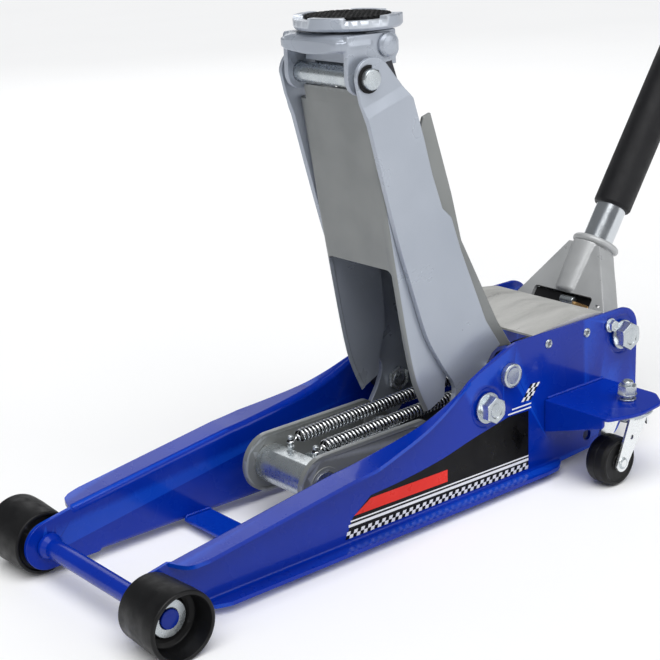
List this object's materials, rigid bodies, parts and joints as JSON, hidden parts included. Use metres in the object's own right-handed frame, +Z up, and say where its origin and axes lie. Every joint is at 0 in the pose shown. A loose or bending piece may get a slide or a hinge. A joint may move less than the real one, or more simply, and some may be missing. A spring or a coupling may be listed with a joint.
{
  "type": "trolley jack",
  "caption": "Low-profile hydraulic trolley jack with a lifting arm, levelled saddle, front wheels, swivel casters and a tilting pump handle.",
  "frame": {"origin": "middle of the bottom of the bounding box, on the floor", "axes": "+Z up; the jack runs along X with its front wheels at -X and its handle leaning towards +X; the left side is at -Y"},
  "size_m": [1.2534, 0.3636, 0.9642],
  "materials": {
    "frame_blue": "gloss royal blue paint on pressed steel",
    "arm_silver": "semi-gloss bluish silver paint on steel",
    "arm_grey": "dark silver-grey paint on steel",
    "zinc_plate": "bright zinc plate",
    "dark_steel": "dark painted iron and steel",
    "spring_steel": "bright spring wire",
    "wheel_black": "black enamel on hard wheels",
    "black_rubber": "matte moulded rubber",
    "foam_sleeve": "closed-cell foam, satin skin",
    "cover_grey": "satin light grey",
    "yoke_silver": "cast, satin silver paint",
    "tube_silver": "plated steel tube",
    "brass": "passivated brass-yellow"
  },
  "bodies": {
    "frame": {"side_plate_left": "frame_blue", "side_plate_right": "frame_blue", "front_axle": "frame_blue", "axle_ring_left": "zinc_plate", "axle_ring_right": "zinc_plate", "front_cross_strap": "frame_blue", "rear_cross_plate": "frame_blue", "caster_bracket_left": "frame_blue", "caster_bracket_right": "frame_blue", "caster_bolt_left": "zinc_plate", "caster_bolt_right": "zinc_plate", "cover_plate": "cover_grey", "frame_bolt_left": "zinc_plate", "frame_bolt_right": "zinc_plate", "hydraulic_block": "dark_steel", "ram_cylinder": "dark_steel", "gland_nut": "zinc_plate", "spring_anchor": "dark_steel", "arm_pivot_bolt_left": "zinc_plate", "arm_pivot_bolt_right": "zinc_plate", "pivot_bush_left": "dark_steel", "pivot_bush_right": "dark_steel", "levelling_pin": "zinc_plate", "yoke_bolt_left": "zinc_plate", "yoke_bolt_right": "zinc_plate", "return_spring_left": "spring_steel", "return_spring_right": "spring_steel"},
    "ram": {"crosshead": "zinc_plate", "ram_rod": "zinc_plate"},
    "links": {"link_left": "arm_grey", "link_right": "arm_grey"},
    "arm": {"arm_plate_left": "arm_silver", "arm_plate_right": "arm_silver", "arm_front_channel": "arm_grey", "arm_back_channel": "arm_grey", "crank_pin_left": "zinc_plate", "crank_pin_right": "zinc_plate", "saddle_pivot_pin": "zinc_plate"},
    "levelling_bars": {"levelling_bar_left": "dark_steel", "levelling_bar_right": "dark_steel"},
    "bracket": {"saddle_bracket": "arm_silver", "levelling_bolt_left": "zinc_plate", "levelling_bolt_right": "zinc_plate"},
    "saddle": {"saddle": "arm_silver", "saddle_pad": "black_rubber"},
    "front_wheel_left": {"front_wheel_left": "wheel_black"},
    "front_wheel_right": {"front_wheel_right": "wheel_black"},
    "caster_left": {"caster_fork_left": "zinc_plate"},
    "caster_right": {"caster_fork_right": "zinc_plate"},
    "caster_wheel_left": {"caster_wheel_left": "wheel_black"},
    "caster_wheel_right": {"caster_wheel_right": "wheel_black"},
    "yoke": {"yoke_socket": "yoke_silver", "yoke_roller": "zinc_plate"},
    "handle": {"handle_lower_tube": "tube_silver", "handle_upper_tube": "tube_silver", "foam_sleeve": "foam_sleeve", "handle_grip": "black_rubber", "release_dog": "brass"},
    "pump_plunger": {"pump_plunger": "zinc_plate"},
    "release_valve": {"release_valve": "brass"}
  },
  "joints": [
    {"name": "arm_lift", "type": "hinge", "parent": "frame", "child": "arm", "pos_m": [-0.16768, 0, 0.101], "axis": [0, -1, 0], "range_deg": [0, 81]},
    {"name": "bar_swing", "type": "hinge", "parent": "frame", "child": "levelling_bars", "pos_m": [-0.13468, 0, 0.1285], "axis": [0, -1, 0], "range_deg": [0, 81]},
    {"name": "bracket_level", "type": "hinge", "parent": "arm", "child": "bracket", "pos_m": [-0.29368, 0, 0.45], "axis": [0, -1, 0], "range_deg": [-81, 0]},
    {"name": "saddle_swivel", "type": "hinge", "parent": "bracket", "child": "saddle", "pos_m": [-0.26728, 0, 0.49], "axis": [0, 0, 1], "continuous": true},
    {"name": "ram_slide", "type": "slide", "parent": "frame", "child": "ram", "axis": [1, 0, 0], "range_m": [0, 0.09075], "deforming": ["return_spring_left", "return_spring_right"]},
    {"name": "link_tilt", "type": "hinge", "parent": "ram", "child": "links", "pos_m": [-0.35568, 0, 0.0605], "axis": [0, -1, 0], "range_deg": [0, 2.18]},
    {"name": "wheel_spin_left", "type": "hinge", "parent": "frame", "child": "front_wheel_left", "pos_m": [-0.59368, -0.115, 0.033], "axis": [0, 1, 0], "continuous": true},
    {"name": "wheel_spin_right", "type": "hinge", "parent": "frame", "child": "front_wheel_right", "pos_m": [-0.59368, 0.115, 0.033], "axis": [0, 1, 0], "continuous": true},
    {"name": "caster_swivel_left", "type": "hinge", "parent": "frame", "child": "caster_left", "pos_m": [-0.01968, -0.146, 0.087], "axis": [0, 0, 1], "continuous": true},
    {"name": "caster_swivel_right", "type": "hinge", "parent": "frame", "child": "caster_right", "pos_m": [-0.01968, 0.146, 0.087], "axis": [0, 0, 1], "continuous": true},
    {"name": "caster_spin_left", "type": "hinge", "parent": "caster_left", "child": "caster_wheel_left", "pos_m": [-0.04568, -0.146, 0.0265], "axis": [0, 1, 0], "continuous": true},
    {"name": "caster_spin_right", "type": "hinge", "parent": "caster_right", "child": "caster_wheel_right", "pos_m": [-0.04568, 0.146, 0.0265], "axis": [0, 1, 0], "continuous": true},
    {"name": "yoke_tilt", "type": "hinge", "parent": "frame", "child": "yoke", "pos_m": [0.04632, 0, 0.131], "axis": [0, 1, 0], "range_deg": [-29.5, 40.5]},
    {"name": "plunger_slide", "type": "slide", "parent": "frame", "child": "pump_plunger", "axis": [-1, 0, 0], "range_m": [-0.01236, 0.01697]},
    {"name": "handle_twist", "type": "hinge", "parent": "yoke", "child": "handle", "pos_m": [0.04632, 0, 0.131], "axis": [0.5664, 0, 0.8241], "range_deg": [0, 180]},
    {"name": "valve_turn", "type": "hinge", "parent": "frame", "child": "release_valve", "pos_m": [0.02832, 0, 0.072], "axis": [1, 0, 0], "range_deg": [0, 180]}
  ],
  "couplings": [
    {"joint": "bar_swing", "follows": "arm_lift", "ratio": 1},
    {"joint": "bracket_level", "follows": "arm_lift", "ratio": -1},
    {"joint": "ram_slide", "follows": "arm_lift", "m_per_rad": 0.064195},
    {"joint": "link_tilt", "follows": "arm_lift", "ratio": 0.026918},
    {"joint": "plunger_slide", "follows": "yoke_tilt", "m_per_rad": 0.024},
    {"joint": "valve_turn", "follows": "handle_twist", "ratio": 1}
  ]
}
